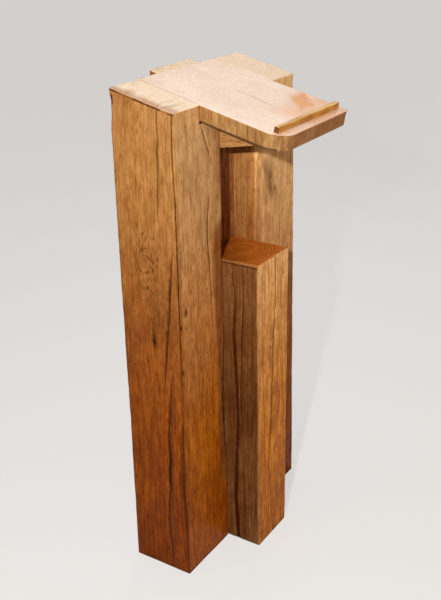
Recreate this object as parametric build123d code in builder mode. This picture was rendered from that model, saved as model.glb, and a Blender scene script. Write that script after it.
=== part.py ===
from build123d import *
from math import cos, radians, tan
import os

# Church lectern of four hewn oak beams that stand in a cross, with a raked desk board let into
# their heads. X runs across the desk, Y away from the reader and Z up, in millimetres.
# The origin is on the floor, midway across the overall width and depth.

# Side posts
post_depth = 158
left_foot_width = 178
left_head_width = 168.5
right_foot_width = 200
right_head_width = 184

# Slot between the side posts, which the back post and the shelf post fill
slot_width = 143
right_inner_skew = 15
niche_depth = 62
rear_overhang = 27

# Shelf post, short and standing out towards the reader
shelf_height = 756
shelf_depth = 152
shelf_gap = 0.5
shelf_post_taper = 7
shelf_bevel = 4

# Heads of the posts, cut to one raked plane
head_height = 1152
head_rake = 14

# Desk board, let in flush with the heads
board_left_lap = 74
board_right_lap = 81
board_thickness = 33
board_overhang = 192
board_left_radius = 48
board_right_radius = 16
board_clearance = 0.4
board_edge_round = 1.5

# Bearer under the desk board, a wedge that springs from the slot
bearer_drop = 70
bearer_rise = 10
bearer_length = 146
bearer_clearance = 0.3
bearer_nose_round = 4

# Book ledge near the desk's front edge
ledge_side_margin = 16
ledge_front_margin = 21
ledge_width = 11
ledge_height = 13
ledge_round = 2.5

# Worn arrises and feet of the hewn beams
arris_round = 3
foot_bevel = 2

# Wanes, the hollows where the round of the trunk shows at an arris
wane_reach = 8
left_slot_wane_low = 225
left_slot_wane_high = 560
left_slot_wane_depth = 9
left_niche_wane_low = 660
left_niche_wane_high = 860
left_niche_wane_depth = 3
left_outer_wane_low = 900
left_outer_wane_high = 1080
left_outer_wane_depth = 4
left_rear_wane_low = 1050
left_rear_wane_high = 1160
left_rear_wane_depth = 6
right_slot_wane_low = 810
right_slot_wane_high = 1250
right_slot_wane_depth = 13
right_outer_wane_low = 1020
right_outer_wane_high = 1160
right_outer_wane_depth = 5
right_rear_wane_low = 300
right_rear_wane_high = 700
right_rear_wane_depth = 7
back_left_wane_low = 980
back_left_wane_high = 1290
back_left_wane_depth = 7
back_right_wane_low = 350
back_right_wane_high = 760
back_right_wane_depth = 6

# Faces that the pieces share
total_width = left_foot_width + slot_width + right_foot_width
total_depth = board_overhang + post_depth + rear_overhang
slot_left = left_foot_width - total_width / 2
slot_right = slot_left + slot_width
posts_front = board_overhang - total_depth / 2
posts_back = posts_front + post_depth
rear_face = posts_back + rear_overhang
niche_back = posts_front + niche_depth
shelf_front = niche_back - shelf_depth
board_front = posts_front - board_overhang
board_left = slot_left - board_left_lap
board_width = board_left_lap + slot_width + board_right_lap
board_centre = board_left + board_width / 2
rake_slope = tan(radians(head_rake))
rake_cosine = cos(radians(head_rake))
head_plane = Plane(
    origin=(0, posts_back, head_height),
    x_dir=(1, 0, 0),
    z_dir=(0, -rake_slope * rake_cosine, rake_cosine),
)
tallest_head = head_height + rear_overhang * rake_slope


def head_z(y):
    """Height of the raked head plane over a given depth."""
    return head_height + rake_slope * (y - posts_back)


def board_underside_z(y):
    """Height of the desk board's underside over a given depth."""
    return head_z(y) - board_thickness / rake_cosine


def right_inner_x(y):
    """Where the right post's inner face lies: it runs off square towards the rear."""
    return slot_right + right_inner_skew * (y - posts_front) / post_depth


def left_outer_x(z):
    """Where the left post's outer face lies: the post narrows towards its head."""
    width = left_foot_width + (left_head_width - left_foot_width) * z / head_height
    return slot_left - width


def right_outer_x(z):
    """Where the right post's outer face lies."""
    width = right_foot_width + (right_head_width - right_foot_width) * z / head_height
    return slot_right + width


def shelf_post_right_x(z):
    """Where the shelf post's right face lies: it fills the slot only at its head."""
    return slot_right - shelf_gap - shelf_post_taper * (1 - z / shelf_height)


def section(height, *corners):
    """Draw one four-cornered section of a beam at a height."""
    with BuildSketch(Plane.XY.offset(height)) as outline:
        with BuildLine():
            Polyline(*corners, close=True)
        make_face()
    return outline.sketch


def wear_arrises(beam):
    """Round the long arrises and bevel the foot."""
    long_edges = beam.edges().filter_by(lambda edge: edge.length > shelf_height / 2)
    fillet(long_edges, radius=arris_round)
    chamfer(beam.faces().sort_by(Axis.Z)[0].edges(), length=foot_bevel)


def wane(corner_at, outward, low, high, depth):
    """Hollow an upright arris between two heights; corner_at gives its place at a height."""
    middle = (low + high) / 2
    corner = corner_at(middle)
    half = (high - low) / 2
    away = Vector(*outward, 0).normalized()
    across = away.cross(Vector(0, 0, 1))
    with BuildSketch(Plane(origin=(*corner, middle), x_dir=(0, 0, 1), z_dir=across)) as hollow:
        with BuildLine():
            ThreePointArc((-half, 0), (0, depth), (half, 0))
            Polyline((half, 0), (half, -wane_reach), (-half, -wane_reach), (-half, 0))
        make_face()
    extrude(hollow.sketch, amount=depth + wane_reach, both=True, mode=Mode.SUBTRACT)


def house_board():
    """Cut the housing that the desk board lies in."""
    front = shelf_front
    back = posts_back + board_clearance
    with BuildSketch(Plane.YZ.offset(board_left - board_clearance)) as bed:
        with BuildLine():
            Polyline(
                (front, board_underside_z(front)),
                (back, board_underside_z(back)),
                (back, tallest_head + board_thickness),
                (front, tallest_head + board_thickness),
                close=True,
            )
        make_face()
    extrude(bed.sketch, amount=board_width + 2 * board_clearance, mode=Mode.SUBTRACT)


# Left post: its outer face leans in, and its arrises keep hollows of the trunk.
with BuildPart() as left_post:
    loft([
        section(
            z,
            (left_outer_x(z), posts_front),
            (slot_left, posts_front),
            (slot_left, posts_back),
            (left_outer_x(z), posts_back),
        )
        for z in (0, head_height)
    ], ruled=True)
    wear_arrises(left_post)
    wane(
        lambda z: (slot_left, posts_front), (1, -1),
        left_slot_wane_low, left_slot_wane_high, left_slot_wane_depth,
    )
    wane(
        lambda z: (slot_left, posts_front), (1, -1),
        left_niche_wane_low, left_niche_wane_high, left_niche_wane_depth,
    )
    wane(
        lambda z: (left_outer_x(z), posts_front), (-1, -1),
        left_outer_wane_low, left_outer_wane_high, left_outer_wane_depth,
    )
    wane(
        lambda z: (left_outer_x(z), posts_back), (-1, 1),
        left_rear_wane_low, left_rear_wane_high, left_rear_wane_depth,
    )
    split(bisect_by=head_plane, keep=Keep.BOTTOM)
    house_board()

# Right post: the widest beam, out of square on its inner side.
with BuildPart() as right_post:
    loft([
        section(
            z,
            (slot_right, posts_front),
            (right_outer_x(z), posts_front),
            (right_outer_x(z), posts_back),
            (right_inner_x(posts_back), posts_back),
        )
        for z in (0, head_height)
    ], ruled=True)
    wear_arrises(right_post)
    wane(
        lambda z: (slot_right, posts_front), (-1, -1),
        right_slot_wane_low, right_slot_wane_high, right_slot_wane_depth,
    )
    wane(
        lambda z: (right_outer_x(z), posts_front), (1, -1),
        right_outer_wane_low, right_outer_wane_high, right_outer_wane_depth,
    )
    wane(
        lambda z: (right_outer_x(z), posts_back), (1, 1),
        right_rear_wane_low, right_rear_wane_high, right_rear_wane_depth,
    )
    split(bisect_by=head_plane, keep=Keep.BOTTOM)
    house_board()

# Back post: fills the slot, stands out behind and closes the niche over the shelf.
with BuildPart() as back_post:
    extrude(
        section(
            0,
            (slot_left, niche_back),
            (right_inner_x(niche_back), niche_back),
            (right_inner_x(rear_face), rear_face),
            (slot_left, rear_face),
        ),
        amount=tallest_head,
    )
    wear_arrises(back_post)
    wane(
        lambda z: (slot_left, rear_face), (-1, 1),
        back_left_wane_low, back_left_wane_high, back_left_wane_depth,
    )
    wane(
        lambda z: (right_inner_x(rear_face), rear_face), (1, 1),
        back_right_wane_low, back_right_wane_high, back_right_wane_depth,
    )
    split(bisect_by=head_plane, keep=Keep.BOTTOM)
    house_board()

# Shelf post: its end grain is the shelf.
with BuildPart() as shelf_post:
    loft([
        section(
            z,
            (slot_left, shelf_front),
            (shelf_post_right_x(z), shelf_front),
            (shelf_post_right_x(z), niche_back),
            (slot_left, niche_back),
        )
        for z in (0, shelf_height)
    ], ruled=True)
    shelf_rim = shelf_post.faces().sort_by(Axis.Z)[-1].edges().sort_by(Axis.Y)[:-1]
    chamfer(shelf_rim, length=shelf_bevel)
    wear_arrises(shelf_post)

# Desk board: a slab flush with the heads, with a wide round at its left front corner.
with BuildPart() as desk_board:
    board_length = (posts_back - board_front) / rake_cosine
    with BuildSketch(head_plane):
        with Locations((board_centre, (board_thickness - board_length) / 2)):
            Rectangle(board_width, board_length + board_thickness)
        front_corners = vertices().group_by(Axis.Y)[0].sort_by(Axis.X)
        fillet(front_corners[0], radius=board_left_radius)
        right_corner = vertices().group_by(Axis.Y)[0].sort_by(Axis.X)[-1]
        fillet(right_corner, radius=board_right_radius)
    extrude(amount=-board_thickness)
    split(bisect_by=Plane.XZ.offset(-posts_back), keep=Keep.TOP)
    desk_top = desk_board.faces().sort_by(Axis(head_plane.origin, head_plane.z_dir))[-1]
    fillet(desk_top.edges(), radius=board_edge_round)

# Desk bearer: a wedge between the side posts whose top follows the desk board.
with BuildPart() as desk_bearer:
    nose = posts_front - bearer_length
    bearer_slope = tan(radians(bearer_rise))
    root_z = board_underside_z(posts_front) - bearer_drop
    with BuildSketch(Plane.YZ.offset(slot_left + bearer_clearance)):
        with BuildLine():
            Polyline(
                (niche_back, board_underside_z(niche_back)),
                (nose, board_underside_z(nose)),
                (nose, root_z + bearer_slope * bearer_length),
                (niche_back, root_z - bearer_slope * niche_depth),
                close=True,
            )
        make_face()
    extrude(amount=slot_width - 2 * bearer_clearance)
    nose_edges = desk_bearer.edges().filter_by(Axis.X).group_by(Axis.Y)[0]
    fillet(nose_edges.sort_by(Axis.Z)[0], radius=bearer_nose_round)

# Book ledge: a low bar that keeps a book from sliding off the desk.
with BuildPart() as book_ledge:
    ledge_front = (board_front + ledge_front_margin - posts_back) / rake_cosine
    with BuildSketch(head_plane):
        with Locations((board_centre, ledge_front + ledge_width / 2)):
            Rectangle(board_width - 2 * ledge_side_margin, ledge_width)
    extrude(amount=ledge_height)
    ledge_top = book_ledge.faces().sort_by(Axis(head_plane.origin, head_plane.z_dir))[-1]
    fillet(ledge_top.edges().filter_by(Axis.X), radius=ledge_round)

left_post.part.label = "left_post"
right_post.part.label = "right_post"
back_post.part.label = "back_post"
shelf_post.part.label = "shelf_post"
desk_board.part.label = "desk_board"
desk_bearer.part.label = "desk_bearer"
book_ledge.part.label = "book_ledge"

os.makedirs("parts", exist_ok=True)
export_step(left_post.part, "parts/left_post.step")
export_step(right_post.part, "parts/right_post.step")
export_step(back_post.part, "parts/back_post.step")
export_step(shelf_post.part, "parts/shelf_post.step")
export_step(desk_board.part, "parts/desk_board.step")
export_step(desk_bearer.part, "parts/desk_bearer.step")
export_step(book_ledge.part, "parts/book_ledge.step")
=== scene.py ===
# %% [markdown]
# # A church lectern hewn from four oak beams
# Four heavy beams stand in a cross, and a raked desk board is let into the heads of the three tall ones. The
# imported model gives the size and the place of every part, so the lesson starts by loading it. Lengths are in
# metres, and in millimetres beside MM and in the lists of checks, arrises and knots.

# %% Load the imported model
import bpy, bmesh, math
from mathutils import Matrix, Vector, noise


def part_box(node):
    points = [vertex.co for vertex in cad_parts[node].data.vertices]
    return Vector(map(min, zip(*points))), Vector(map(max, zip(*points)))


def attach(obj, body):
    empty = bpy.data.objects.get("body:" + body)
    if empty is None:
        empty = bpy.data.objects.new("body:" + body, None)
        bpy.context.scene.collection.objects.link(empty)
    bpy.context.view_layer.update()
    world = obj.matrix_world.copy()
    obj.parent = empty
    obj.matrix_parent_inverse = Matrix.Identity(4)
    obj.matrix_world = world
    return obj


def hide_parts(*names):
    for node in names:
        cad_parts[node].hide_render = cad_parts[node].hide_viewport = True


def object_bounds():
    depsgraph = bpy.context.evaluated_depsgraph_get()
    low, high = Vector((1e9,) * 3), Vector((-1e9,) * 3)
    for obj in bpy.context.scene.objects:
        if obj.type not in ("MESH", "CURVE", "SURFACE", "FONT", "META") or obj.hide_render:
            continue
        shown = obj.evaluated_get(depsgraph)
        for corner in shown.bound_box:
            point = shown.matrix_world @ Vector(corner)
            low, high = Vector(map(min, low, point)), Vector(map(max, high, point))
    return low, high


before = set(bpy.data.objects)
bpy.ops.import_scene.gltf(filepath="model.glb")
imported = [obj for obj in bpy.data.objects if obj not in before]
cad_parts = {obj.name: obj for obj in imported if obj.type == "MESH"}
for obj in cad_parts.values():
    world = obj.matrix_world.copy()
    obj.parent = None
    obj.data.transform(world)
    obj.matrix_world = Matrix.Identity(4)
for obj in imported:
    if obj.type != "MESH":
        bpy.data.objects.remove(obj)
cad_low, cad_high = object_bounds()
MM = 0.001
print("lectern, in mm:", [round((b - a) / MM) for a, b in zip(cad_low, cad_high)])

# %% [markdown]
# ## The camera
# The camera stands left of the reader, a step back from the desk and a little above it, and looks down at
# the lectern. A camera looks along its own -Z axis, so its three axes come from the turn, the tilt and the
# roll.

# %% Place the camera
EYE = Vector((-1.6701, -1.0169, 1.4933))
TURN, TILT, ROLL = math.radians(57.031), math.radians(23.905), math.radians(1.301)
LENS = 54.48

ahead = Vector((math.sin(TURN) * math.cos(TILT), math.cos(TURN) * math.cos(TILT), -math.sin(TILT)))
level = Vector((math.cos(TURN), -math.sin(TURN), 0))
down = ahead.cross(level)
across = level * math.cos(ROLL) + down * math.sin(ROLL)
camera = bpy.data.objects.new("camera", bpy.data.cameras.new("camera"))
bpy.context.scene.collection.objects.link(camera)
axes = Matrix((across, ahead.cross(across) * -1, ahead * -1)).transposed()
camera.matrix_world = Matrix.Translation(EYE) @ axes.to_4x4()
camera.data.lens = LENS
bpy.context.scene.camera = camera
print("camera looks", [round(v, 3) for v in ahead])

# %% [markdown]
# ## Wiring nodes
# A material, and the light of the room too, is a tree of nodes. Written out one call at a time it gets long,
# so a small helper adds a node, fills its sockets with numbers or wires, and hands back its output.

# %% A helper for node trees


class Wiring:
    """Adds nodes to one tree and wires them up as they are made."""

    def __init__(self, tree):
        self.tree = tree

    def add(self, kind, sockets=None, output=0, **settings):
        """Add a node, fill its sockets and give one of its outputs."""
        node = self.tree.nodes.new("ShaderNode" + kind)
        for name, value in settings.items():
            setattr(node, name, value)
        for name, value in (sockets or {}).items():
            self.fill(node.inputs[name], value)
        return node.outputs[output]

    def fill(self, socket, value):
        """Wire an output to a socket, or put a number in it."""
        if isinstance(value, bpy.types.NodeSocket):
            self.tree.links.new(value, socket)
        else:
            socket.default_value = value

    def sums(self, operation, *values):
        return self.add("Math", dict(enumerate(values)), operation=operation)

    def times(self, value, factor):
        return self.sums("MULTIPLY", value, factor)

    def vector(self, operation, *values, output=0):
        return self.add("VectorMath", dict(enumerate(values)), output, operation=operation)

    def stretch(self, where, factors):
        """Stretch a place along each axis."""
        return self.vector("MULTIPLY", where, factors)

    def cloud(self, where, scale, detail, output=0):
        return self.add("TexNoise", {"Vector": where, "Scale": scale, "Detail": detail}, output)

    def rise(self, value, start, end, low=0.0, high=1.0):
        """Go smoothly from low to high as a value goes from start to end."""
        limits = {"Value": value, "From Min": start, "From Max": end, "To Min": low, "To Max": high}
        return self.add("MapRange", limits, interpolation_type="SMOOTHSTEP")

    def mix(self, amount, under, over, kind="MIX"):
        sockets = {0: amount, 6: under, 7: over}
        return self.add("Mix", sockets, 2, data_type="RGBA", blend_type=kind)

    def use(self, group, sockets):
        """Add a node group and give all its outputs."""
        node = self.tree.nodes.new("ShaderNodeGroup")
        node.node_tree = group.tree
        for name, value in sockets.items():
            self.fill(node.inputs[name], value)
        return node.outputs


def new_group(name, inputs, outputs):
    """Start a node group with named sockets, and give its wiring, its inputs and its outputs."""
    tree = bpy.data.node_groups.new(name, "ShaderNodeTree")
    for label, kind, value in inputs:
        socket = tree.interface.new_socket(name=label, in_out="INPUT", socket_type="NodeSocket" + kind)
        socket.default_value = value
    for label, kind in outputs:
        tree.interface.new_socket(name=label, in_out="OUTPUT", socket_type="NodeSocket" + kind)
    return Wiring(tree), tree.nodes.new("NodeGroupInput").outputs, tree.nodes.new("NodeGroupOutput").inputs


def rgb(red, green, blue):
    """Turn a colour read off a screen, 0 to 255, into the linear one that shaders use."""
    steps = [value / 255 for value in (red, green, blue)]
    return (*[v / 12.92 if v < 0.04045 else ((v + 0.055) / 1.055) ** 2.4 for v in steps], 1)


print("middle grey is", rgb(128, 128, 128))

# %% [markdown]
# ## Light
# A small strong lamp beside the camera shows the grain and draws crisp shadows, and a weak warm one in front
# fills them. Two broad lamps, overhead and beyond the desk, lay a pale sheen on the raked board. The room
# glows warm all round, but the camera sees a plain pale wall in its place.

# %% Set the lamps and the room light
CENTRE = (cad_low + cad_high) / 2


def lamp(name, place, size, watts, tint=(1, 1, 1)):
    """Hang a square lamp that points at the middle of the lectern."""
    data = bpy.data.lights.new(name, "AREA")
    data.size, data.energy, data.color = size, watts, tint
    piece = bpy.data.objects.new(name, data)
    bpy.context.scene.collection.objects.link(piece)
    piece.location = place
    piece.rotation_euler = (Vector(place) - CENTRE).to_track_quat("Z", "Y").to_euler()


lamp("key lamp", (-1.8, -0.78, 1.66), 0.045, 48)
lamp("front lamp", (-0.7, -2.4, 1.5), 1.2, 3, (1, 0.62, 0.36))
lamp("overhead lamp", (0.2, 0.3, 2.6), 1.6, 14)
lamp("sheen lamp", (2.1, 0.75, 2.1), 1.3, 7)

world = bpy.data.worlds.new("room")
world.use_nodes = True
w = Wiring(world.node_tree)
room = w.tree.nodes["Background"]
room.inputs["Color"].default_value = (1, 0.8, 0.62, 1)
room.inputs["Strength"].default_value = 0.165
wall = w.add("Background", {"Color": (0.66, 0.65, 0.63, 1)})
seen = w.add("LightPath", output="Is Camera Ray")
choice = w.add("MixShader", {0: seen, 1: room.outputs[0], 2: wall})
w.fill(w.tree.nodes["World Output"].inputs["Surface"], choice)
bpy.context.scene.world = world
bpy.context.scene.view_settings.view_transform = "Standard"
print("lamps:", bpy.data.lights.keys())

# %% [markdown]
# ## Oak grain
# A beam is cut from a trunk, so its grain is the trunk's yearly rings seen along and across. The group below
# measures the distance from the pith and turns it into rings. Faces that run along the trunk then get
# cathedral figure and the sawn ends get arcs without drawing either. The fibres, pores and stains are noise,
# drawn out along the trunk.

# %% The oak grain group
GRAIN = ("Rings", "Fibres", "Pores", "Patches", "Mottle", "Streaks", "Specks")
grain, given, result = new_group(
    "oak grain",
    [("Position", "Vector", (0, 0, 0)), ("Ring Gap", "Float", 0.0035), ("Wander", "Float", 0.03)],
    [(mask, "Float") for mask in GRAIN],
)
w = grain
slow = w.cloud(w.stretch(given["Position"], (1, 1, 0.14)), 5.0, 1.5, "Color")
bend = w.vector("MULTIPLY", w.vector("SUBTRACT", slow, (0.5, 0.5, 0.5)), (1, 1, 0))
drift = w.add("VectorMath", {0: bend, "Scale": given["Wander"]}, operation="SCALE")
bent = w.vector("ADD", given["Position"], drift)
reach = w.vector("LENGTH", w.stretch(bent, (1, 1, 0)), output=1)
ripple = w.cloud(w.stretch(given["Position"], (1, 1, 0.06)), 24.0, 1.0)
years = w.sums("ADD", w.sums("DIVIDE", reach, given["Ring Gap"]), w.times(ripple, 0.5))
part = w.sums("FRACT", years)
late = w.times(w.rise(part, 0.25, 0.9), w.rise(part, 0.9, 1.0, 1.0, 0.0))
vigour = w.add("TexWhiteNoise", {"W": w.sums("FLOOR", years)}, noise_dimensions="1D")
w.fill(result["Rings"], w.times(late, w.sums("MULTIPLY_ADD", vigour, 0.6, 0.4)))
w.fill(result["Fibres"], w.rise(w.cloud(w.stretch(bent, (1, 1, 0.045)), 280.0, 4.0), 0.34, 0.66))
pores = w.rise(w.cloud(w.stretch(bent, (1, 1, 0.2)), 380.0, 1.0), 0.54, 0.68)
w.fill(result["Pores"], w.times(pores, w.rise(part, 0.1, 0.5, 1.0, 0.4)))
w.fill(result["Patches"], w.rise(w.cloud(w.stretch(given["Position"], (1, 1, 0.35)), 11.0, 3.0), 0.3, 0.7))
w.fill(result["Mottle"], w.rise(w.cloud(w.stretch(bent, (1, 1, 0.5)), 60.0, 5.0), 0.38, 0.62))
w.fill(result["Streaks"], w.rise(w.cloud(w.stretch(bent, (1, 1, 0.05)), 130.0, 3.0), 0.5, 0.7))
w.fill(result["Specks"], w.rise(w.cloud(w.stretch(bent, (1, 1, 0.3)), 300.0, 1.0), 0.68, 0.75))
print("oak grain group:", len(grain.tree.nodes), "nodes")

# %% [markdown]
# ## Knots
# Where a branch grew, the fibres part and flow round it, and inside the knot the rings close round the
# branch. The group shifts the place where the grain is read, which bends every ring and fibre, turns it a
# little into a swirl, and gives a mask for the dark heart and one for the flecks of bark round a big knot.

# %% The knot group
knot, given, result = new_group(
    "knot",
    [("Position", "Vector", (0, 0, 0)), ("Knot", "Vector", (0, 0, 0)), ("Face", "Vector", (0, 1, 0.5)),
     ("Axis", "Vector", (1, 0, 0)), ("Size", "Float", 0.01), ("Swirl", "Float", 0.3)],
    [("Position", "Vector"), ("Heart", "Float"), ("Flecks", "Float")],
)
w = knot
off = w.vector("MULTIPLY", w.vector("SUBTRACT", given["Position"], given["Knot"]), given["Face"])
rough = w.cloud(given["Position"], 35.0, 1.0)
away = w.times(w.vector("LENGTH", off, output=1), w.sums("MULTIPLY_ADD", rough, 0.7, 0.65))
share = w.sums("DIVIDE", given["Size"], w.sums("MAXIMUM", away, given["Size"]))
pull = w.times(share, share)
shift = w.add("VectorMath", {0: w.stretch(off, (1, 1, 0)), "Scale": pull}, operation="SCALE")
inside = w.sums("MAXIMUM", w.sums("SUBTRACT", given["Size"], away), 0.0)
rings_round = w.add("VectorMath", {0: given["Face"], "Scale": inside}, operation="SCALE")
parted = w.vector("ADD", w.vector("SUBTRACT", given["Position"], shift), w.stretch(rings_round, (1, 1, 0)))
swirl = {"Vector": parted, "Center": given["Knot"], "Axis": given["Axis"]}
swirl["Angle"] = w.times(pull, given["Swirl"])
w.fill(result["Position"], w.add("VectorRotate", swirl))
swirl["Angle"] = w.times(swirl["Angle"], 0.45)
half_turned = w.add("VectorRotate", swirl)
bark = w.rise(w.cloud(w.stretch(half_turned, (1, 1, 0.3)), 210.0, 1.0), 0.54, 0.62)
far = w.sums("DIVIDE", away, given["Size"])
w.fill(result["Flecks"], w.times(bark, w.rise(far, 2.0, 7.0, 1.0, 0.0)))
w.fill(result["Heart"], w.rise(far, 0.3, 1.0, 1.0, 0.0))
print("knot group:", len(knot.tree.nodes), "nodes")

# %% [markdown]
# ## The tone of old oak
# All the pieces share one way of ageing. The wood is golden at desk height and redder and darker towards the
# floor, and painted light makes the front faces lighter. Over that lie the colours of sawn ends, partly
# painted sheen on the raked tops, and of weathered wood, which on the ledge's top and the board's front edge
# is painted light. Then come the grain, the pale worn arrises, the dark knots and last the checks, with dirt
# and painted shade. One group stacks them in that order, so that each material only chooses its own colours
# and strengths.

# %% The oak tone group
MARKS = ("check", "end_grain", "worn", "weathered_and_painted_light", "sunned")
COLOURS = ("High Colour", "Low Colour", "Weathered And Painted Light Colour", "End Colour", "Heart Colour")
TINTS = {
    "Rings": (0.3, (0.42, 0.28, 0.17, 1)), "Fibres": (0.7, (0.68, 0.58, 0.46, 1)),
    "Streaks": (0.4, (0.6, 0.46, 0.32, 1)), "Pores": (0.7, (0.5, 0.36, 0.22, 1)),
    "Specks": (0.6, (0.35, 0.22, 0.12, 1)), "Mottle": (0.5, (0.7, 0.58, 0.44, 1)),
    "Patches": (0.45, (0.74, 0.64, 0.5, 1)),
}
ageing, given, result = new_group(
    "oak tone",
    [("Height", "Float", 0.5), ("End Rings", "Float", 0.4), ("End Figure", "Float", 0.4),
     ("Wear", "Float", 0.2), ("Knot Heart", "Float", 0.0)]
    + [(name, "Color", (0.5, 0.3, 0.15, 1)) for name in COLOURS]
    + [(name, "Float", 0.0) for name in GRAIN + MARKS]
    + [(name + " Strength", "Float", strength) for name, (strength, tint) in TINTS.items()],
    [("Colour", "Color"), ("Roughness", "Float"), ("Relief", "Float")],
)
w = ageing
uneven = w.sums("MULTIPLY_ADD", given["Patches"], 0.1, -0.05)
up = w.rise(w.sums("ADD", given["Height"], uneven), 0.3, 1.12)
tone = w.mix(up, given["Low Colour"], given["High Colour"])
# Painted light: this mark makes the front faces lighter.
tone = w.mix(given["sunned"], tone, (2.0, 2.6, 4.0, 1), "MULTIPLY")
tone = w.mix(w.rise(given["Height"], 0.0, 0.42, 1.0, 0.0), tone, (0.72, 0.6, 0.42, 1), "MULTIPLY")
tone = w.mix(given["end_grain"], tone, given["End Colour"])
# Weathered wood, and on some faces painted light.
tone = w.mix(given["weathered_and_painted_light"], tone, given["Weathered And Painted Light Colour"])
coarser = w.sums("MULTIPLY_ADD", up, -0.4, 1.4)
for name, (strength, tint) in TINTS.items():
    on_ends = given["End Rings" if name == "Rings" else "End Figure"]
    plain = w.sums("MULTIPLY_ADD", given["end_grain"], w.sums("SUBTRACT", on_ends, 1.0), 1.0)
    amount = w.times(w.times(given[name], given[name + " Strength"]), coarser)
    tone = w.mix(w.times(amount, plain), tone, tint, "MULTIPLY")
tone = w.mix(w.times(given["worn"], given["Wear"]), tone, rgb(214, 166, 110))
tone = w.mix(given["Knot Heart"], tone, given["Heart Colour"])
# Checks, dirt and painted shade all take this dark colour.
w.fill(result["Colour"], w.mix(given["check"], tone, rgb(54, 17, 0)))
w.fill(result["Roughness"], w.sums("MULTIPLY_ADD", given["Fibres"], 0.14, 0.36))
grooves = w.sums("ADD", w.times(given["Fibres"], 0.35), w.times(given["Pores"], 0.8))
grooves = w.sums("ADD", grooves, w.times(given["Rings"], 0.3))
w.fill(result["Relief"], w.times(grooves, -1.0))
print("oak tone group:", len(ageing.tree.nodes), "nodes")

# %% [markdown]
# ## Varnished oak
# One function builds each material from the three groups. It reads the place on the piece from Object
# coordinates, bends it round the knots, turns it to the pith, and reads the marks that the shaping below
# leaves on the mesh. Satin varnish over brown wood gives a weak, warm reflection.

# %% The oak material
ON_LEFT, ON_FRONT = ((0, 1, 0.5), (1, 0, 0)), ((1, 0, 0.5), (0, 1, 0))
BIG_SWIRL = 1


def oak(
    name, pith, colours, lean=(0, 0, 0), gap=0.0035, wander=0.03, knots=(), gloss=0.12,
    glaze=(1, 0.62, 0.28, 1), end_rings=0.4, end=0.4, wear=0.2, strengths=None,
):
    """Make varnished oak with rings round a pith and knots at (place, face, size, darkness, swirl)."""
    material = bpy.data.materials.new(name)
    material.use_nodes = True
    w = Wiring(material.node_tree)
    shader = w.tree.nodes["Principled BSDF"]
    place = w.add("TexCoord", output="Object")
    height = w.add("SeparateXYZ", {0: place}, 2)
    hearts = 0.0
    for spot, (face, axis), size, dark, swirl in knots:
        made = w.use(knot, {"Position": place, "Knot": [v * MM for v in spot], "Face": face, "Axis": axis,
                            "Size": size * MM, "Swirl": swirl})
        place, hearts = made["Position"], w.sums("MAXIMUM", w.times(made["Heart"], dark), hearts)
        if swirl > BIG_SWIRL:
            hearts = w.sums("MAXIMUM", w.times(made["Flecks"], 0.65), hearts)
    pose = {"Vector": place, "Location": [v * MM for v in pith], "Rotation": lean}
    trunk = w.add("Mapping", pose, vector_type="TEXTURE")
    wood = w.use(grain, {"Position": trunk, "Ring Gap": gap, "Wander": wander})
    sockets = {"Height": height, "Knot Heart": hearts}
    sockets |= {"End Rings": end_rings, "End Figure": end, "Wear": wear}
    sockets |= {mask: wood[mask] for mask in GRAIN}
    sockets |= {mark: w.add("Attribute", output="Fac", attribute_name=mark) for mark in MARKS}
    sockets |= {socket: rgb(*colour) for socket, colour in zip(COLOURS, colours)}
    sockets |= {mask + " Strength": strength for mask, strength in (strengths or {}).items()}
    aged = w.use(ageing, sockets)
    w.fill(shader.inputs["Base Color"], aged["Colour"])
    w.fill(shader.inputs["Roughness"], aged["Roughness"])
    bump = {"Height": aged["Relief"], "Strength": 0.55, "Distance": 0.0006}
    w.fill(shader.inputs["Normal"], w.add("Bump", bump))
    shader.inputs["Specular IOR Level"].default_value = gloss
    shader.inputs["Specular Tint"].default_value = glaze
    shader.inputs["Coat Weight"].default_value = gloss * 0.3
    shader.inputs["Coat Roughness"].default_value = 0.2
    return material


print("a knot on the left:", ON_LEFT)

# %% [markdown]
# ## Shaping a beam
# A hewn beam starts as a plain block. It is sawn through by many planes, closer together at the arrises and
# the drying checks, which leaves the shape alone and gives it points to move. Then arrises are rounded, faces
# get the soft swell of the adze, and checks open as narrow grooves. The mesh stays closed, which it might not
# if the grooves were carved.

# %% Blocks and cuts
FACES = {"left": (0, 0), "right": (0, 1), "front": (1, 0), "back": (1, 1), "foot": (2, 0), "head": (2, 1)}
LIP = 1.5 * MM
TOUCH = 0.01 * MM
NEAR = (0.8, 2, 4, 7)


def block(low, high):
    """Start a closed block between two corners."""
    bm = bmesh.new()
    bmesh.ops.create_cube(bm, size=1)
    bmesh.ops.scale(bm, vec=high - low, verts=bm.verts)
    bmesh.ops.translate(bm, vec=(low + high) / 2, verts=bm.verts)
    return bm


def saw(bm, axis, places):
    """Cut through the block at each place along an axis, keeping both sides."""
    normal = Vector([float(i == axis) for i in range(3)])
    for place in places:
        geometry = bm.verts[:] + bm.edges[:] + bm.faces[:]
        bmesh.ops.bisect_plane(bm, geom=geometry, dist=1e-7, plane_co=normal * place, plane_no=normal)


def cuts(low, high, step, checks, edges):
    """Places to cut: close at both arrises and at each check, even between."""
    close = [low + e * MM for e in edges] + [high - e * MM for e in edges]
    close += [check + side * LIP for check in checks for side in (-1, 0, 1)]
    count = round((high - low) / step)
    even = [low + (high - low) * i / count for i in range(1, count)]
    return sorted(close + [e for e in even if all(abs(e - c) > step * 0.45 for c in close)])


def runs_over(face, along):
    """The axis across a check that runs along one axis of a face."""
    return 3 - along - FACES[face][0]


def slice_up(bm, low, high, checks=(), order=(2, 0, 1), steps=(6, 6, 5), edges=(NEAR,) * 3):
    """Cut the block through on every axis, with steps and edges in millimetres for X, Y and Z."""
    for axis in order:
        places = set()
        for face, along, tracks in checks:
            if runs_over(face, along) == axis:
                places |= {base * MM for base, line in tracks}
        saw(bm, axis, cuts(low[axis], high[axis], steps[axis] * MM, places, edges[axis]))


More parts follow.
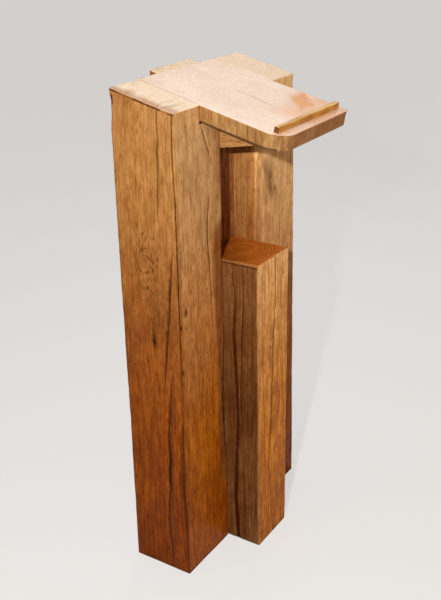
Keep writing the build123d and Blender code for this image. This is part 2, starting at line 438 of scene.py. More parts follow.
def raise_head(bm, axis, place, side, rise):
    """Leave a housing: part the top at a place, and raise the side that stands beside the board."""
    saw(bm, axis, [place])
    bm.normal_update()
    top = [f for f in bm.faces if f.normal.z > 0.9 and (f.calc_center_median()[axis] - place) * side > 0]
    raised = bmesh.ops.extrude_face_region(bm, geom=top)["geom"]
    points = [part for part in raised if isinstance(part, bmesh.types.BMVert)]
    bmesh.ops.translate(bm, vec=(0, 0, rise), verts=points)
    bmesh.ops.delete(bm, geom=top, context="FACES")


def follow(line, along, column):
    """Read one column of a line of points, (along, across, depth, width), at a place along it."""
    if along <= line[0][0]:
        return line[0][column]
    for a, b in zip(line, line[1:]):
        if along <= b[0]:
            share = (along - a[0]) / (b[0] - a[0])
            return a[column] + (b[column] - a[column]) * share
    return line[-1][column]


print("faces:", *FACES)

# %% [markdown]
# Drying oak splits along its fibres, and these splits, called checks, wander as the fibres do. The straight
# cuts are slid sideways until they follow the wandering line, which takes no new points.

# %% Checks


def slide(start, here, on, corners, checks):
    """Slide a point of a checked face sideways, and list how deep each check opens there."""
    low, high = corners
    upright = [n for n in on if n not in ("head", "foot")]
    opened = []
    for face, along, tracks in checks:
        if face not in on or len(upright) > 1:
            continue
        over = runs_over(face, along)
        reach = start[along] / MM
        stops = [(low[over], low[over])]
        for base, line in tracks:
            middle = follow(line, reach, 1) * MM
            middle += 1.1 * MM * noise.noise(Vector((reach * 0.045, base, 0)))
            half = LIP + follow(line, reach, 3) * MM
            stops += [(base * MM - LIP, middle - half), (base * MM, middle)]
            stops.append((base * MM + LIP, middle + half))
            off = abs(start[over] - base * MM)
            if off < TOUCH or off < LIP + TOUCH and half > LIP:
                share = 1 if off < TOUCH else 0.5 * min(1.0, (half - LIP) / MM)
                ragged = 0.8 + 0.5 * noise.noise(start * 130)
                opened.append((face, share * follow(line, reach, 2) * ragged))
        stops.append((high[over], high[over]))
        if face != "head" or not upright:
            here[over] = follow(stops, start[over], 1)
    return opened


print("lip of a check:", LIP / MM, "mm")

# %% [markdown]
# An adze leaves a face slightly wavy, and hands wear its arrises round. Where a square beam meets the round
# of the trunk, the arris is missing, which is called a wane. A bevel modifier would round every arris alike,
# so here each has its own radii along the beam.

# %% Arrises and faces
SWELL_REACH = 30 * MM


def clamp(value):
    """Keep a value between 0 and 1."""
    return max(0.0, min(1.0, value))


def under_faces(here, corners):
    """How deep a point lies under each face."""
    return {n: abs(here[axis] - corners[side][axis]) for n, (axis, side) in FACES.items()}


def push(here, face, amount):
    """Push a point into the wood from a face."""
    axis, side = FACES[face]
    here[axis] += amount * (1 - 2 * side)


def round_arrises(start, here, arrises, corners):
    """Round the arrises, and give how deep the point then lies under each face."""
    depth = under_faces(here, corners)
    for (face_a, face_b), line in arrises.items():
        radius = follow(line, start.z / MM, 1) * (1 + 0.35 * noise.noise(start * 45)) * MM
        a, b = depth[face_a], depth[face_b]
        if a < radius and b < radius:
            out_a, out_b = radius - a, radius - b
            shrink = max(out_a, out_b) / math.hypot(out_a, out_b)
            for face, out in ((face_a, out_a), (face_b, out_b)):
                axis, side = FACES[face]
                depth[face] = radius - out * shrink
                here[axis] = corners[side][axis] + depth[face] * (1 - 2 * side)
    return depth


def swell_faces(start, here, swell, depth):
    """Push the faces in by up to their swell in millimetres, in slow waves with a finer chop."""
    slow = Vector((start.x * 11, start.y * 11, start.z * 5.5))
    for face, most in swell.items():
        wave = 0.5 + 0.5 * noise.noise(slow + Vector((*FACES[face], 0)))
        chop = 0.5 + 0.5 * noise.noise(start * 32 + Vector((7, *FACES[face])))
        push(here, face, most * MM * (0.8 * wave + 0.2 * chop) * max(0.0, 1 - depth[face] / SWELL_REACH))


print("swells reach", SWELL_REACH / MM, "mm")

# %% [markdown]
# The next function takes every point through these steps and lays it in its place. It also writes five marks
# on the mesh, from 0 to 1: open checks with dirt and painted shade, sawn ends, worn wood, weathered wood that
# on some faces is painted light, and painted light on the front faces. The materials read them, so the colour
# follows the shape.

# %% Shape a whole block
CHECK_DARK = 1.6
TEAR = 1.6 * MM
WORN_REACH = 5 * MM
LESS_PAINTED_LIGHT = 0.38


def shape(
    bm, low, high, arrises, checks, swell, lay, ends=("head", "foot"), weather_and_painted_light=None, torn=(), dirt_and_shade=None,
    sun=None,
):
    """Round the arrises, swell the faces, open the checks and lay the block in its place."""
    marks = {n: bm.verts.layers.float.new(n) for n in MARKS}
    corners = (low, high)
    for vert in bm.verts:
        start = vert.co.copy()
        here = start.copy()
        flat = under_faces(start, corners)
        on = [n for n in FACES if flat[n] < TOUCH]
        opened = slide(start, here, on, corners, checks)
        depth = round_arrises(start, here, arrises, corners)
        swell_faces(start, here, swell, depth)
        dark = 0.0
        for face, deep in opened:
            push(here, face, deep * MM)
            dark = max(dark, min(1.0, deep / CHECK_DARK))
        for face, edge in torn:
            if face in on and 1.5 * MM < depth[edge] < 5 * MM:
                rip = max(0.35, 0.8 + noise.noise(start * 60) + 0.7 * noise.noise(start * 190))
                push(here, face, min(1.5, rip) * TEAR)
                dark = min(0.95, rip)
        # Dirt and painted shade darken the point like a check.
        if dirt_and_shade:
            dark = max(dark, min(1.0, dirt_and_shade(start, on)))
        vert[marks["check"]] = dark
        close = sorted(depth.values())[1]
        vert[marks["worn"]] = max(0.0, 1 - close / WORN_REACH) * (0.5 + 0.5 * noise.noise(start * 25))
        vert[marks["end_grain"]] = float(any(n in on for n in ends))
        # Painted light on the front faces, fading towards the head and at the left edge, unless a piece gives
        # its own.
        edge = min(1.0, (start.x - low.x) / (8 * MM))
        front_light_paint = (1 - LESS_PAINTED_LIGHT * min(1.0, start.z)) * edge * ("front" in on)
        vert[marks["sunned"]] = sun(start, on) if sun else front_light_paint
        if weather_and_painted_light:
            vert[marks["weathered_and_painted_light"]] = clamp(weather_and_painted_light(start, on))
        vert.co = lay(here)


print("marks:", *MARKS)

# %% [markdown]
# A shaped block becomes an object that rides on the lectern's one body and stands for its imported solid. The
# count of open edges shows at once if a cut has left a hole.

# %% Make and finish a piece


def new_object(bm, name, material):
    """Hand a finished mesh to a new object of the scene."""
    data = bpy.data.meshes.new(name)
    bm.to_mesh(data)
    bm.free()
    data.materials.append(material)
    made = bpy.data.objects.new(name, data)
    bpy.context.scene.collection.objects.link(made)
    return made


def finish_piece(bm, name, node, material):
    """Turn the normals outwards, make it an object and let it stand for its CAD node."""
    bmesh.ops.recalc_face_normals(bm, faces=bm.faces)
    loose = sum(not edge.is_manifold for edge in bm.edges)
    for face in bm.faces:
        face.smooth = True
    print(name, "faces", len(bm.faces), "open edges", loose)
    piece = new_object(bm, name, material)
    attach(piece, "root")
    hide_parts(node)


print("solids:", len(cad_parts))

# %% [markdown]
# ## Shared sizes
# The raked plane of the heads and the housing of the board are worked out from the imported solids' boxes, so
# the oak pieces fit round each other as the solids do. The inner side of the right post runs off square
# towards the rear, and the back post follows it.

# %% Read the joints off the solids
post_low, post_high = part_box("left_post")
right_low, right_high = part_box("right_post")
back_low, back_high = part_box("back_post")
shelf_low, shelf_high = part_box("shelf_post")
board_low, board_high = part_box("desk_board")
wedge_low, wedge_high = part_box("desk_bearer")
ledge_low, ledge_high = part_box("book_ledge")
RAKE = math.radians(14)
SLOPE = math.tan(RAKE)
BOARD_DEEP = 33 * MM
HOUSING = BOARD_DEEP / math.cos(RAKE)
GAP = 0.2 * MM
OFF_SQUARE = 15
FRONT, BACK = post_low.y, post_high.y


def head_z(y):
    """Height of the raked heads over a depth."""
    return post_high.z + SLOPE * (y - BACK)


BED = head_z(FRONT) - HOUSING
print("heads rise from", round(head_z(FRONT) / MM), "to", round(head_z(back_high.y) / MM))


def tilt_head(here):
    """Bend the upper part of a beam up to the raked plane of the heads."""
    share = clamp((here.z - 0.7 * BED) / (0.3 * BED))
    here.z += SLOPE * (here.y - FRONT) * share * share * (3 - 2 * share)
    return here


def skew(share, y):
    """A share of how far the right post's inner side has run off square at a depth."""
    return share * OFF_SQUARE * MM * (y - FRONT) / (BACK - FRONT)


def foot_dark_band(start):
    """A dark band just above the floor."""
    return 0.7 * max(0.0, 1 - start.z / (5 * MM))


# %% [markdown]
# ## The left post
# The beam that the reader's left hand meets. Its outer side leans in towards the head. Long checks run down
# that side, past a big knot where a branch left the trunk, and the arris by the slot keeps a hollow where the
# square beam met the round of the trunk. Each track below is the place of a straight cut and then points of
# its check: the height, where the check runs, how deep it opens and how wide.

# %% Checks and arrises of the left post
left_checks = [
    ("left", 2, [
        (8, [(0, 8, 0, 0), (180, 14, 0, 0), (246, 21, 2, 0.3), (294, 18, 3, 0.5), (349, 15, 3, 0.5),
             (402, 13, 2, 0.3), (425, 8, 0, 0), (445, 4.5, 2, 0.6), (533, 4.5, 3, 1), (700, 5, 3.6, 1.2),
             (780, 5.5, 3.4, 1), (860, 6.5, 3, 0.8), (941, 6, 3, 0.8), (985, 9, 2.4, 0.6),
             (1040, 9.5, 2.8, 0.6), (1110, 8, 2.4, 0.5)]),
        (22, [(0, 54, 1.6, 0), (67, 52, 2, 0.2), (94, 59, 3, 0.3), (153, 58, 3, 0.4), (206, 55, 4, 0.6),
              (227, 50, 4, 0.6), (255, 52, 5, 0.8), (325, 48, 5, 0.7), (364, 50, 4, 0.6), (418, 46, 4, 0.5),
              (472, 40, 3, 0.3), (524, 34, 2, 0.1), (560, 30, 0, 0), (600, 26, 0, 0), (740, 14, 0, 0),
              (823, 11, 0, 0), (900, 20, 0, 0), (1010, 29, 0.9, 0), (1040, 25, 1.2, 0), (1073, 24, 0.8, 0),
              (1095, 30, 0, 0), (1125, 38, 1, 0)]),
        (47, [(0, 66, 0, 0), (470, 63, 0, 0), (484, 58, 1, 0), (508, 54, 3, 0), (544, 50, 5, 0.3),
              (595, 44, 6, 0.4), (645, 38, 6, 0.4), (693, 32, 6, 0.4), (740, 28, 6, 0.5), (795, 23, 5, 0.3),
              (823, 17, 1.5, 0), (832, 19, 0, 0), (875, 49, 0, 0), (887, 52, 0.6, 0),
              (913, 51, 2, 0), (955, 49.5, 4, 0.2), (997, 47, 4, 0.2),
              (1026, 48, 4, 0.2), (1050, 44, 4, 0), (1082, 47, 3, 0), (1098, 44, 2, 0), (1125, 46, 1.2, 0)]),
        (78, [(0, 84, 0, 0), (580, 78, 0, 0), (600, 78, 4, 0.6), (612, 78, 5, 0.8), (635, 80, 3, 0.3),
              (664, 76, 1.4, 0), (690, 76, 0, 0)]),
    ]),
    ("head", 0, [
        (22, [(-250, 38, 0.9, 0), (-241, 36, 1, 0), (-201, 31, 0.8, 0), (-170, 26, 0, 0)]),
        (47, [(-251, 46, 1.2, 0), (-245, 50, 1.2, 0), (-222, 54, 1.2, 0), (-193, 50, 1, 0),
              (-164, 49, 0, 0)]),
    ]),
    ("front", 2, [
        (-210, [(0, -190, 0, 0), (640, -176, 0, 0), (674, -176, 0.7, 0), (700, -180, 0, 0),
                (1120, -210, 0, 0)]),
        (-145, [(560, -128, 0, 0), (708, -134, 2, 0), (785, -139, 3, 0.2), (843, -142, 4, 0.4),
                (876, -138, 3, 0), (929, -128, 0, 0), (1000, -128, 0, 0), (1010, -129, 1.5, 0),
                (1022, -134, 2, 0), (1039, -142, 2, 0.1), (1060, -152, 2, 0), (1070, -156, 0, 0)]),
    ]),
]
left_arrises = {
    ("left", "front"): [(0, 2.5), (300, 1.8), (860, 1.8), (900, 3), (980, 10), (1080, 4), (1120, 3)],
    ("left", "back"): [(0, 4), (400, 7), (700, 4), (1030, 4), (1065, 11), (1085, 13), (1100, 5), (1112, 3)],
    ("right", "front"): [(225, 4), (300, 14), (390, 22), (480, 14), (560, 4), (660, 3), (760, 8), (860, 3)],
    ("left", "head"): [(0, 3.5)],
    ("front", "head"): [(0, 2.5)],
    ("back", "head"): [(0, 3)],
}
print("checked faces:", [face for face, along, tracks in left_checks])

# %% [markdown]
# Beside the slot this beam is browner, near the trunk's bark. Painted shadow lies along the joint under the
# board's edge, dirt along the lower arris, a dark band at the foot, and painted light makes the front lighter.
# Each is a small function of the place, because marks painted by hand would need an image.

# %% Marks of the left post
BARK_X, BARK_WIDE = -134, 12
HEAD_RIM = 32 * MM


def bark_edge(start, on):
    """The darker strip beside the slot, where the beam comes near the bark."""
    z = start.z / MM
    fade = clamp(min((z - 150) / 120, (860 - z) / 70))
    near = (start.x / MM - BARK_X) / BARK_WIDE
    if "head" in on:
        rim = 1.1 - (start.x - post_low.x) / HEAD_RIM
        return 0.7 * clamp(rim + 0.5 * noise.noise(start * 45))
    # Near the slot the front is also a little darker under the board.
    high_up = 0.2 * clamp((z - 860) / 80)
    return max(fade * 0.9, high_up) * near if "front" in on or "right" in on else 0.0


def seam_dirt_and_shadow(start, on):
    """Painted shadow under the board, dirt by the lower arris and in a bark pocket, and a dark foot band."""
    z = start.z / MM
    # Painted shadow under the board's edge, along the joint.
    if "front" in on and start.x > board_low.x and BED - 3.2 * MM < start.z < BED + 1 * MM:
        return 1.0
    if "left" in on and 0.1 * MM < start.y - FRONT < 2.1 * MM and z < 440:
        return 0.8
    if "left" in on and BACK - start.y < 8 * MM and 1080 < z < 1099:
        return 0.9
    if "left" not in on:
        return foot_dark_band(start)
    blotchy = 0.9 + noise.noise(start * 25)
    stain = 0.26 * clamp(1 - abs(z - 665) / 110) * clamp((105 - start.y / MM) / 25)
    rear = 0.2 * clamp(min((start.y / MM - 90) / 40, (z - 230) / 80, (730 - z) / 60))
    return max(stain * blotchy, rear * blotchy, foot_dark_band(start))


def left_light(start, on):
    """Painted light: the front is lighter, and the left side a little, near the head and the front arris."""
    if "front" in on:
        return (1 - LESS_PAINTED_LIGHT * start.z) * min(1.0, (start.x - post_low.x) / (8 * MM))
    near = 0.07 * clamp(1 - (start.y - FRONT) / (110 * MM)) * clamp((start.z - 0.75) / 0.1)
    return near + 0.05 * clamp((start.z - 1.03) / 0.07) if "left" in on else 0.0


print("bark from x =", BARK_X, "mm")

# %% [markdown]
# The part of the head that stands beside the board is raised from the block, so that the post stays one
# closed mesh.

# %% Shape the left post
LEFT_LESS, LEFT_WIDE = 9.5, 178
low, high = Vector((post_low.x, FRONT, 0)), Vector((post_high.x, BACK, BED + HOUSING))
bm = block(low, Vector((high.x, high.y, BED)))
raise_head(bm, 0, board_low.x - GAP, -1, HOUSING)
slice_up(bm, low, high, left_checks)
# These two cuts carry the painted shadow under the board's edge.
saw(bm, 2, [BED - 1 * MM, BED - 3 * MM])  # for the dirt in the joint under the board
slot_x = high.x


def lay_left(here):
    """Lean the outer side in towards the head."""
    lean = 1 - (here.z / post_high.z) * LEFT_LESS / LEFT_WIDE
    here.x = slot_x + (here.x - slot_x) * lean
    return tilt_head(here)


shape(
    bm, low, high, left_arrises, left_checks, {"left": 2.2, "front": 1.8, "back": 1.8}, lay_left,
    weather_and_painted_light=bark_edge, torn=[("left", "head")], dirt_and_shade=seam_dirt_and_shadow, sun=left_light,
)
# The pale end colour of the raked head is partly painted sheen.
left_oak = oak(
    "left post oak", (-150, 110, 0),
    ((190, 138, 80), (162, 84, 9), (172, 110, 60), (254, 232, 206), (60, 28, 8)),
    lean=(0.012, -0.02, 0), wander=0.05, wear=0.05, strengths={"Specks": 0.6, "Rings": 0.15},
    knots=[
        ((-255, 90, 792), ON_LEFT, 7, 0.1, 1.7), ((-254, 76, 773), ON_LEFT, 4, 0.9, 0.3),
        ((-254, 71, 790), ON_LEFT, 3, 0.9, 0.3), ((-254, 59, 800), ON_LEFT, 3, 0.8, 0.3),
        ((-254, 63, 846), ON_LEFT, 3, 0.7, 0.3), ((-254, 86, 853), ON_LEFT, 3, 0.6, 0.3),
        ((-254, 94, 731), ON_LEFT, 4, 0.6, 0.5), ((-255, 50, 415), ON_LEFT, 5, 0.5, 0.3),
        ((-233, 3, 684), ON_FRONT, 9, 0.8, 0.6), ((-142, 3, 788), ON_FRONT, 2.2, 0.95, 0),
    ],
)
finish_piece(bm, "left_post_oak", "left_post", left_oak)

# %% [markdown]
# ## The right post
# The widest beam. Its inner side runs off square and its arris by the slot is a long wane. The board's shadow
# falls across its head.

# %% Checks, arrises and marks of the right post
KNOT_X, KNOT_Z, FEATHER_WIDE, FEATHER_TALL = 136, 885, 30, 62
right_checks = [
    ("front", 2, [(140, [(500, 165, 0, 0), (827, 158, 0, 0), (850, 150, 1.5, 0), (900, 134, 1.5, 0),
                         (930, 128, 0, 0)])]),
]
right_arrises = {
    ("left", "front"): [(800, 4), (870, 14), (960, 26), (1080, 30)],
    ("right", "front"): [(1020, 4), (1080, 12)],
    ("right", "back"): [(300, 4), (500, 17), (700, 4)],
    ("right", "head"): [(0, 4)],
    ("front", "head"): [(0, 4)],
    ("back", "head"): [(0, 3)],
}


def inner_side(start, on):
    """The side by the niche is browner, and grey feathered wood lies round the knots in front."""
    if "front" in on:
        above = start.z / MM - KNOT_Z
        across = abs(start.x / MM - KNOT_X + 0.15 * above) / FEATHER_WIDE
        feather = 1 - max(across, abs(above) / FEATHER_TALL) ** 2
        return 0.75 * max(0.0, feather) * (0.8 + noise.noise(Vector((start.x * 90, 0, start.z * 12))))
    return 0.45 if "left" in on else 0.0


def wane_light(start, on):
    """Painted light on the front, less where the wane turns away."""
    return (1 - LESS_PAINTED_LIGHT * start.z) * min(1.0, (start.x - right_low.x) / (30 * MM)) if "front" in on else 0.0


print("feathered wood:", 2 * FEATHER_TALL, "mm tall")

# %% [markdown]
# It is cut like the left post, and its inner side turns out towards the rear.

# %% Shape the right post
RIGHT_LESS = 16
low, high = Vector((right_low.x, FRONT, 0)), Vector((right_high.x, BACK, BED + HOUSING))
bm = block(low, Vector((high.x, high.y, BED)))
raise_head(bm, 0, board_high.x + GAP, 1, HOUSING)
slice_up(bm, low, high, right_checks)


def lay_right(here):
    """Lean the outer side in, and turn the inner side out towards the rear."""
    share = (here.x - right_low.x) / (right_high.x - right_low.x)
    here.x += skew(1 - share, here.y)
    here.x -= share * RIGHT_LESS * MM * here.z / post_high.z
    return tilt_head(here)


shape(
    bm, low, high, right_arrises, right_checks, {"right": 2.2, "front": 1.6, "back": 1.8}, lay_right,
    weather_and_painted_light=inner_side, sun=wane_light,
)
# The pale end colour of the raked head is partly painted sheen.
right_oak = oak(
    "right post oak", (150, 150, 0),
    ((236, 178, 108), (170, 90, 16), (134, 86, 48), (254, 230, 202), (84, 46, 20)),
    lean=(-0.015, 0.01, 0), wander=0.06, wear=0.15,
    strengths={"Specks": 0.35, "Fibres": 0.55, "Streaks": 0.6},
    knots=[((132, 3, 898), ON_FRONT, 9, 0.35, 0.9), ((148, 3, 858), ON_FRONT, 6, 0.6, 0.5)],
)
finish_piece(bm, "right_post_oak", "right_post", right_oak)

# %% [markdown]
# ## The back post
# It fills the slot between the side posts, closes the niche and stands out a little behind them. Its rear is
# out of sight, so it just repeats the checks and wanes of the others.

# %% Shape the back post
back_checks = [
    ("back", 2, [(-20, [(0, -10, 3, 0), (300, -16, 5, 0.6), (700, -8, 4, 0.4), (900, -20, 0, 0)])]),
    ("front", 2, [(-20, [(740, -52, 0, 0), (770, -54, 2, 0), (900, -57, 2, 0), (990, -55, 0, 0)])]),
]
back_arrises = {
    ("left", "back"): [(980, 4), (1060, 12), (1130, 16)],
    ("right", "back"): [(350, 4), (550, 14), (760, 4)],
    ("back", "head"): [(0, 4)],
}
low, high = Vector((back_low.x, back_low.y, 0)), Vector((right_low.x, back_high.y, BED + HOUSING))
bm = block(low, Vector((high.x, high.y, BED)))
raise_head(bm, 1, BACK + GAP, 1, HOUSING)
slice_up(bm, low, high, back_checks)


def lay_back(here):
    """Widen the beam towards the rear, along the right post's inner side."""
    share = (here.x - low.x) / (high.x - low.x)
    here.x += skew(share, here.y)
    return tilt_head(here)


shape(
    bm, low, high, back_arrises, back_checks, {"back": 2.2}, lay_back,
    weather_and_painted_light=lambda start, on: 0.9 * ("front" in on),
)
# The pale end colour of the raked head is partly painted sheen.
back_oak = oak(
    "back post oak", (-60, 140, 0),
    ((172, 111, 56), (134, 70, 18), (182, 128, 86), (254, 230, 202), (70, 36, 14)),
    lean=(0.01, 0.015, 0), wander=0.04, strengths={"Streaks": 0.9, "Mottle": 0.8, "Fibres": 0.9},
    knots=[((-52, 65, 960), ON_FRONT, 7, 0.6, 0.4), ((-60, 65, 900), ON_FRONT, 5, 0.6, 0.4)],
)
finish_piece(bm, "back_post_oak", "back_post", back_oak)

# %% [markdown]
# ## The shelf post
# The short beam in front, whose sawn end is a shelf for the reader's papers. A bevel runs round the end on
# three sides. Its left side is dark, coarse wood with two deep checks, and the front is pale with one.

# %% Checks, arrises and marks of the shelf post
shelf_checks = [
    ("left", 2, [
        (-45, [(60, -47, 0, 0), (120, -42, 2, 0), (330, -38, 1, 0), (404, -36, 3, 0), (565, -41, 4, 0.5),
               (668, -47, 3, 0), (730, -47, 0, 0)]),
        (-24, [(0, -24, 7, 1), (113, -17, 7, 1), (234, -22, 5, 0.6), (350, -29, 6, 0.8), (458, -25, 6, 0.8),
               (574, -19, 5, 0.6), (663, -26, 4, 0.4), (723, -19, 2, 0), (756, -19, 0, 0)]),
    ]),
    ("front", 2, [(-12, [(0, -33, 3, 0), (106, -30, 3, 0), (252, -26, 4, 0.4), (388, -16, 5, 0.4),
                         (536, -10, 5, 0.4), (571, -8, 5, 0.4), (630, -1, 4, 0.3), (747, 2, 3, 0)])]),
]
shelf_arrises = {
    ("left", "front"): [(0, 3), (200, 5), (400, 3), (600, 4), (756, 3)],
    ("right", "front"): [(0, 4), (756, 3)],
    ("left", "head"): [(0, 5)],
    ("front", "head"): [(0, 5)],
    ("right", "head"): [(0, 5)],
}


def dark_side(start, on):
    """Weather has greyed the left side, up to the front arris."""
    return 0.95 if "left" in on and "front" not in on else 0.0


def shelf_dirt_and_shade(start, on):
    """The dark line under the left rim, painted shade at the end's rear left, and a dark foot band."""
    if "left" in on and 5.5 * MM < shelf_high.z - start.z < 9.5 * MM:
        return 0.85
    # Painted shade on the rear left of the end, beside the left post.
    if "head" in on:
        rear_left = (start.y - start.x) / (110 * MM) + 0.3 + 0.4 * noise.noise(start * 30)
        return 0.55 * clamp(rear_left)
    middle = 0.36 * clamp(1 - abs(start.z / MM - 400) / 300) if "left" in on else 0.0
    return max(middle, foot_dark_band(start))


print("checked faces:", [face for face, along, tracks in shelf_checks])

# %% [markdown]
# The sawn end shows wide rings round a pith at its rear edge, so their gap is twice that of the other beams,
# and they are strong on the end alone.

# %% Shape the shelf post
SHELF_LESS = 7
low, high = shelf_low, shelf_high
bm = block(low, high)
slice_up(bm, low, high, shelf_checks, edges=(NEAR, NEAR, (1, 2.5, 4, 7)))


def lay_shelf(here):
    """Narrow the beam towards its foot on the right."""
    share = (here.x - shelf_low.x) / (shelf_high.x - shelf_low.x)
    here.x -= share * SHELF_LESS * MM * (1 - here.z / shelf_high.z)
    return here


shape(
    bm, low, high, shelf_arrises, shelf_checks, {"left": 1.6, "front": 1.4, "right": 1.0}, lay_shelf,
    weather_and_painted_light=dark_side, dirt_and_shade=shelf_dirt_and_shade,
)
shelf_oak = oak(
    "shelf post oak", (0, 1, 756),
    ((252, 194, 121), (202, 120, 31), (130, 88, 52), (236, 138, 46), (70, 34, 12)),
    lean=(0.02, 0.01, 0), wander=0.012, gap=0.0069, end_rings=5.0, end=0.5, wear=0.75,
    strengths={"Fibres": 0.7, "Streaks": 0.45, "Pores": 0.7},
    knots=[
        ((-82, -28, 330), ON_LEFT, 5, 0.6, 0.4), ((-24, -86, 534), ON_FRONT, 4, 0.8, 0.4),
        ((-20, -86, 590), ON_FRONT, 3, 0.5, 0.3), ((13, -86, 609), ON_FRONT, 6, 0.2, 0.3),
    ],
)
finish_piece(bm, "shelf_post_oak", "shelf_post", shelf_oak)

# %% [markdown]
# ## The desk board
# A slab sawn across a wide trunk, so its top is end grain and its edges show upright fibres. The left front
# corner is cut to a wide round. It is shaped flat, which keeps every cut straight, and then laid on the raked
# plane.

# %% Checks, arrises and marks of the desk board
board_long = (BACK - board_low.y) / math.cos(RAKE)
low = Vector((board_low.x, 0, -BOARD_DEEP))
high = Vector((board_high.x, board_long, 0))
PATCH_X, PATCH_Y, PATCH_WIDE, PATCH_DEEP = 90, 88, 44, 46
seams = [64.4, 85, 109.8]
board_checks = [
    ("head", 1, [(0, [(85, -14, 0, 0), (106, -10, 0.8, 0), (124, -4, 1.2, 0), (145, 0, 1.4, 0),
                      (168, 2, 1.4, 0), (187, 1, 1.2, 0), (216, 5, 0.8, 0), (240, 8, 0, 0)])]),
    ("left", 2, [(s, [(-33, s - 8, d, 0), (0, s, d, 0)]) for s, d in zip(seams, (1.1, 1.3, 1.2))]),
]
board_arrises = {("left", "front"): [(0, 48)], ("right", "front"): [(0, 16)]}
board_arrises |= {(side, "head"): [(0, 1.5)] for side in ("left", "front", "right")}


def damp_patch_and_edge_light(start, on):
    """A wavy-rimmed browner patch by the right edge, reaching the ledge, and painted light on the front edge.
    """
    wave = noise.noise(Vector((start.x * 30, start.y * 55, 0)))
    beyond = start.y / MM - PATCH_Y
    across_patch = 1 - abs(start.x / MM - PATCH_X - 0.9 * beyond) / PATCH_WIDE
    along_patch = 1 - abs(beyond) / PATCH_DEEP
    if "head" in on:
        by_ledge = clamp(min((start.x / MM + 45) / 50, (125 - start.y / MM) / 60))
        rim = 0.3 * max(0.0, 1 - start.y / (30 * MM))
        return max(rim, 0.5 * by_ledge, min(1.0, 1.9 * min(across_patch, along_patch) + 0.5 * wave))
    # Painted light: the front edge is painted lighter, less at its left end.
    return 0.65 * min(1.0, (start.x - low.x) / (80 * MM)) if "front" in on else 0.0


def edge_light(start, on):
    """Painted light: the front edge is painted lighter towards the right."""
    return 0.5 * min(1.0, (start.x - low.x) / (110 * MM)) if "front" in on else 0.0


def under_edge(start, on):
    """The underside and the lower arris of the left edge, which lie in shade."""
    return 0.9 * ("foot" in on or ("left" in on and start.z < low.z + 1.5 * MM))


print("desk board, in mm:", [round(v / MM) for v in high - low])

# %% [markdown]
# Two directions, up the slope and off it, turn the flat piece into a raked one. Its far end stands upright by
# the back post, so its lower part is drawn back a little.

# %% Shape the desk board
along_slope = Vector((0, math.cos(RAKE), math.sin(RAKE)))
off_slope = Vector((0, -math.sin(RAKE), math.cos(RAKE)))
slope_start = Vector((0, board_low.y, head_z(board_low.y)))
bm = block(low, high)
slice_up(bm, low, high, board_checks, (0, 1, 2), edges=((0.8, 1.6, 4, 8), (0.8, 1.6, 4, 8), (0.6, 1.4)))


def lay_on_slope(here):
    """Lay a flat piece on the raked plane, its far end cut upright."""
    run = here.y + here.z * SLOPE * max(0.0, here.y / board_long) ** 6
    return slope_start + along_slope * run + off_slope * here.z + Vector((here.x, 0, 0))


shape(
    bm, low, high, board_arrises, board_checks, {"left": 0.5, "front": 0.5, "right": 0.5},
    lay_on_slope, weather_and_painted_light=damp_patch_and_edge_light, dirt_and_shade=under_edge, sun=edge_light,
)
# The pale end colour of the raked top is partly painted sheen.
desk_oak = oak(
    "desk oak", (20, 40, 0), ((182, 141, 88), (182, 141, 88), (240, 164, 86), (253, 230, 212), (70, 34, 12)),
    lean=(0.02, 0.03, 0), wander=0.05, gap=0.0045, gloss=0.4, glaze=(1, 0.9, 0.8, 1), end_rings=0.3, end=0.3,
    strengths={"Patches": 1.0, "Mottle": 0.6},
)
finish_piece(bm, "desk_board_oak", "desk_board", desk_oak)

# %% [markdown]
# ## The bearer
# A wedge of oak that springs from the slot and holds up the middle of the board. Its grain runs towards the
# reader, so the pith is turned to lie along Y.

# %% Shape the bearer
WEDGE_DEEP, WEDGE_RISE = 70 * MM, math.tan(math.radians(10))
low, high = wedge_low, wedge_high
bm = block(low, high)
slice_up(bm, low, high, steps=(6, 6, 6))


def lay_wedge(here):
    """Draw the block down to a wedge between the board's underside and the rising lower face."""
    share = (here.z - wedge_low.z) / (wedge_high.z - wedge_low.z)
    top = head_z(here.y) - HOUSING
    bottom = BED - WEDGE_DEEP - WEDGE_RISE * (here.y - FRONT)
    here.z = bottom + (top - bottom) * share
    return here


wedge_arrises = {("front", "foot"): [(0, 4)], ("left", "foot"): [(0, 1.5)], ("right", "foot"): [(0, 1.5)]}


def board_edge_shadow(start, on):
    """Painted shadow of the board's edge on the bearer, along its joint with the board."""
    return 0.95 if "left" in on and high.z - start.z < 7.5 * MM else 0.0


shape(bm, low, high, wedge_arrises, [], {}, lay_wedge, ends=("front",), dirt_and_shade=board_edge_shadow)
bearer_oak = oak(
    "bearer oak", (-40, 0, 980),
    ((188, 146, 94), (188, 146, 94), (120, 70, 34), (190, 132, 80), (70, 34, 12)),
    lean=(math.radians(90), 0, 0), wander=0.03,
)
finish_piece(bm, "bearer_oak", "desk_bearer", bearer_oak)

# %% [markdown]
# ## The book ledge
# A slim bar that lies along the desk near its front edge and stops a book from sliding off. It is shaped flat
# like the board, with its cuts closer together, and its top arrises are rounded.

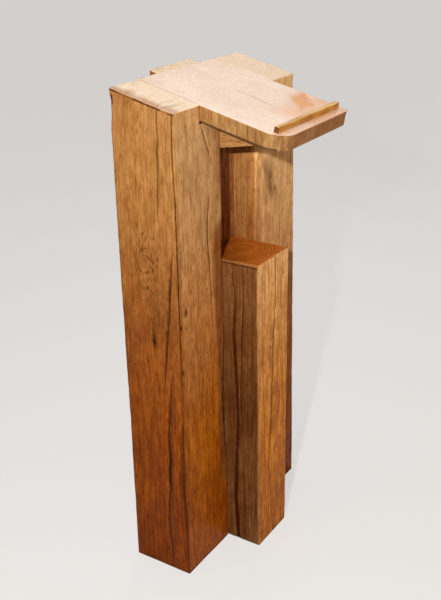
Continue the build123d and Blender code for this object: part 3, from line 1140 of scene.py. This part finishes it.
# %% Shape the ledge
LEDGE_WIDE, LEDGE_TALL, LEDGE_BACK = 11 * MM, 13 * MM, 21 * MM
start_y = LEDGE_BACK / math.cos(RAKE)
low = Vector((ledge_low.x, start_y, 0))
high = Vector((ledge_high.x, start_y + LEDGE_WIDE, LEDGE_TALL))
bm = block(low, high)
slice_up(bm, low, high, (), (0, 1, 2), (6, 3, 3), ((0.5, 1, 2), (0.6, 1.5, 2.5), (0.6, 1.5, 2.5)))
ledge_arrises = {
    ("front", "head"): [(0, 2.5)], ("back", "head"): [(0, 2.5)],
    ("left", "head"): [(0, 1)], ("right", "head"): [(0, 1)],
}
# The ledge's top is painted lighter than its sides, a painted highlight.
shape(
    bm, low, high, ledge_arrises, [], {}, lay_on_slope, ends=("left", "right"),
    weather_and_painted_light=lambda start, on: float("head" in on), sun=lambda start, on: 0.4 * ("head" in on),
)
# Its third colour is the top's painted highlight.
ledge_oak = oak(
    "ledge oak", (0, -170, 1060),
    ((255, 188, 80), (255, 188, 80), (255, 214, 130), (110, 60, 22), (70, 34, 12)),
    lean=(0, math.radians(90), 0), wander=0.02, gap=0.003, gloss=0.4,
)
finish_piece(bm, "book_ledge_oak", "book_ledge", ledge_oak)

# %% [markdown]
# ## The floor
# A plain pale floor catches the shadow. To the camera it also glows a little, so that the far floor doesn't
# sink into grey.

# %% Lay the floor
FLOOR_REACH = 30
bm = bmesh.new()
bmesh.ops.create_grid(bm, x_segments=1, y_segments=1, size=FLOOR_REACH)
floor_paint = bpy.data.materials.new("floor")
floor_paint.use_nodes = True
w = Wiring(floor_paint.node_tree)
matt = w.tree.nodes["Principled BSDF"]
matt.inputs["Base Color"].default_value = (0.62, 0.6, 0.58, 1)
matt.inputs["Roughness"].default_value = 0.9
glow = w.add("Emission", {"Color": (1.0, 0.985, 0.965, 1), "Strength": 1.0})
seen = w.times(w.add("LightPath", output="Is Camera Ray"), 0.6)
shown = w.add("MixShader", {0: seen, 1: matt.outputs[0], 2: glow})
w.fill(w.tree.nodes["Material Output"].inputs["Surface"], shown)
floor = new_object(bm, "floor", floor_paint)
print("floor reaches", FLOOR_REACH, "m")
